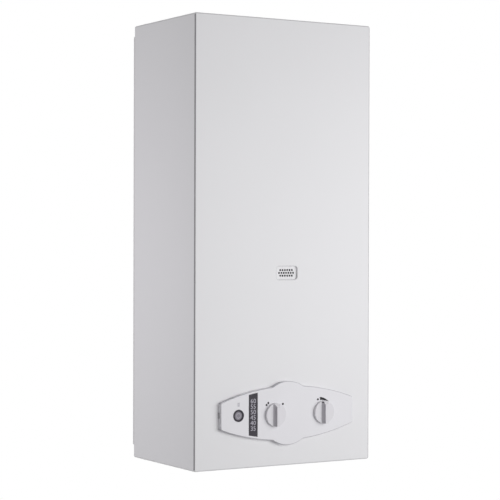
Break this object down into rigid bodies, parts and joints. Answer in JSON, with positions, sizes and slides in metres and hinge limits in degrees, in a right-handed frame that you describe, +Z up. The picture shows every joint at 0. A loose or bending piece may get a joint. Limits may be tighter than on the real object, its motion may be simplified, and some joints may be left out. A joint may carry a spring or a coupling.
{
  "type": "gas water heater",
  "caption": "Wall-hung instantaneous gas water heater: tall white steel cover, lens-shaped control panel with knobs, button and display strip, full burner and copper exchanger inside",
  "frame": {"origin": "on the wall plane, midway between the two hanging slots of the back plate", "axes": "+X to the right of a person facing the heater, +Y into the wall, +Z up"},
  "size_m": [0.3, 0.2105, 0.664],
  "materials": {
    "back_plate": "white enamel on pressed steel sheet",
    "batteries": "metal jacketed round cells",
    "battery_box": "black moulded plastic",
    "battery_contacts": "brass contact discs",
    "battery_tray": "dark grey moulded plastic",
    "burner_blades": "pressed stainless steel blades",
    "burner_frame": "galvanised sheet",
    "button_bezel": "dark grey moulded ring",
    "casing_screws": "nickel plated pan head screws",
    "cold_connection": "turned brass",
    "cold_water_pipe": "copper pipe",
    "combustion_chamber": "lead-coated copper sheet",
    "control_unit": "black moulded box",
    "display_board": "green circuit board with light bars",
    "display_window": "smoked dark plastic, glossy",
    "exchanger_tubes": "copper tubes and brazed bends",
    "fascia": "white moulded plastic, satin",
    "fascia_screws": "zinc plated screws",
    "fin_pack": "copper fins",
    "flame_sensor": "white glazed ceramic rod with steel tip",
    "flame_window": "mica sheet",
    "flame_window_frame": "galvanised frame with screws",
    "flow_knob": "white moulded knob, satin",
    "flue_baffle": "aluminised steel sheet",
    "flue_collar": "aluminised steel ring",
    "flue_hood": "aluminised steel sheet",
    "frame_brackets": "galvanised channels",
    "front_casing": "white baked enamel on folded steel sheet, satin gloss",
    "gas_connection": "turned brass",
    "gas_manifold": "die-cast aluminium bar",
    "gas_pipe": "bent aluminium pipe",
    "gas_spindle": "turned brass spindle",
    "gas_valve_body": "die-cast aluminium",
    "gas_valve_cover": "die-cast aluminium",
    "hot_connection": "turned brass",
    "hot_water_pipe": "copper pipe",
    "ignition_electrode": "white glazed ceramic rod with steel tip",
    "injectors": "turned brass",
    "inlet_filter": "stainless strainer",
    "jacket_coil": "copper pipe",
    "microswitch": "black moulded plastic",
    "microswitch_lever": "spring steel leaf",
    "pipe_nuts": "brass hexagon nuts",
    "power_button": "mid grey moulded button",
    "power_knob": "white moulded knob, satin",
    "service_shelf": "galvanised sheet",
    "sight_glass": "heat-proof glass plate",
    "sight_glass_clip": "spring steel",
    "solenoid_valve": "black lacquered steel can",
    "status_lamp": "milky lens",
    "switch_bracket": "galvanised sheet",
    "switch_plunger": "natural nylon",
    "thermal_cutouts": "steel-cased thermal cutouts",
    "valve_diaphragm": "black rubber",
    "valve_rod": "ground stainless steel",
    "valve_screws": "zinc plated screws",
    "water_spindle": "turned brass spindle",
    "water_valve_body": "cast brass",
    "water_valve_cover": "cast brass",
    "wiring_leads": "silicone sleeved leads"
  },
  "bodies": {
    "chassis": {"back_plate": "back_plate", "service_shelf": "service_shelf", "hot_connection": "hot_connection", "gas_connection": "gas_connection", "cold_connection": "cold_connection", "pipe_nuts": "pipe_nuts", "gas_valve_body": "gas_valve_body", "gas_valve_cover": "gas_valve_cover", "solenoid_valve": "solenoid_valve", "water_valve_cover": "water_valve_cover", "valve_diaphragm": "valve_diaphragm", "water_valve_body": "water_valve_body", "valve_screws": "valve_screws", "inlet_filter": "inlet_filter", "switch_bracket": "switch_bracket", "microswitch": "microswitch", "control_unit": "control_unit", "display_board": "display_board", "battery_box": "battery_box", "battery_contacts": "battery_contacts", "burner_frame": "burner_frame", "burner_blades": "burner_blades", "gas_manifold": "gas_manifold", "injectors": "injectors", "gas_pipe": "gas_pipe", "ignition_electrode": "ignition_electrode", "flame_sensor": "flame_sensor", "combustion_chamber": "combustion_chamber", "flame_window": "flame_window", "flame_window_frame": "flame_window_frame", "fin_pack": "fin_pack", "exchanger_tubes": "exchanger_tubes", "jacket_coil": "jacket_coil", "cold_water_pipe": "cold_water_pipe", "hot_water_pipe": "hot_water_pipe", "flue_hood": "flue_hood", "flue_baffle": "flue_baffle", "flue_collar": "flue_collar", "frame_brackets": "frame_brackets", "casing_screws": "casing_screws", "thermal_cutouts": "thermal_cutouts", "wiring_leads": "wiring_leads"},
    "cover": {"front_casing": "front_casing", "fascia": "fascia", "display_window": "display_window", "button_bezel": "button_bezel", "status_lamp": "status_lamp", "sight_glass": "sight_glass", "sight_glass_clip": "sight_glass_clip", "fascia_screws": "fascia_screws"},
    "power_knob": {"power_knob": "power_knob"},
    "flow_knob": {"flow_knob": "flow_knob"},
    "power_button": {"power_button": "power_button"},
    "gas_spindle": {"gas_spindle": "gas_spindle"},
    "water_spindle": {"water_spindle": "water_spindle"},
    "switch_plunger": {"switch_plunger": "switch_plunger"},
    "battery_tray": {"battery_tray": "battery_tray", "batteries": "batteries"},
    "valve_rod": {"valve_rod": "valve_rod"},
    "microswitch_lever": {"microswitch_lever": "microswitch_lever"}
  },
  "joints": [
    {"name": "cover_removal", "type": "slide", "parent": "chassis", "child": "cover", "axis": [0, -1, 0], "range_m": [0, 0.28]},
    {"name": "power_knob_turn", "type": "hinge", "parent": "cover", "child": "power_knob", "pos_m": [-0.02, -0.2005, -0.5145], "axis": [0, -1, 0], "range_deg": [-40, 40]},
    {"name": "flow_knob_turn", "type": "hinge", "parent": "cover", "child": "flow_knob", "pos_m": [0.0634, -0.2005, -0.5145], "axis": [0, -1, 0], "range_deg": [-43, 27]},
    {"name": "gas_spindle_turn", "type": "hinge", "parent": "chassis", "child": "gas_spindle", "pos_m": [-0.02, -0.12, -0.5145], "axis": [0, -1, 0], "range_deg": [-40, 40]},
    {"name": "water_spindle_turn", "type": "hinge", "parent": "chassis", "child": "water_spindle", "pos_m": [0.0634, -0.12, -0.5145], "axis": [0, -1, 0], "range_deg": [-43, 27]},
    {"name": "button_press", "type": "slide", "parent": "cover", "child": "power_button", "axis": [0, 1, 0], "range_m": [0, 0.0025], "stiffness_N_per_m": 800},
    {"name": "plunger_press", "type": "slide", "parent": "chassis", "child": "switch_plunger", "axis": [0, 1, 0], "range_m": [0, 0.0025]},
    {"name": "battery_tray_slide", "type": "slide", "parent": "chassis", "child": "battery_tray", "axis": [0, 0, -1], "range_m": [0, 0.1]},
    {"name": "valve_rod_slide", "type": "slide", "parent": "chassis", "child": "valve_rod", "axis": [-1, 0, 0], "range_m": [0, 0.0035], "stiffness_N_per_m": 2500},
    {"name": "lever_turn", "type": "hinge", "parent": "chassis", "child": "microswitch_lever", "pos_m": [-0.041, -0.097, -0.502], "axis": [0, 0, 1], "range_deg": [0, 10.03]}
  ],
  "couplings": [
    {"joint": "gas_spindle_turn", "follows": "power_knob_turn", "ratio": 1},
    {"joint": "water_spindle_turn", "follows": "flow_knob_turn", "ratio": 1},
    {"joint": "plunger_press", "follows": "button_press", "ratio": 1},
    {"joint": "lever_turn", "follows": "valve_rod_slide", "rad_per_m": 50}
  ]
}
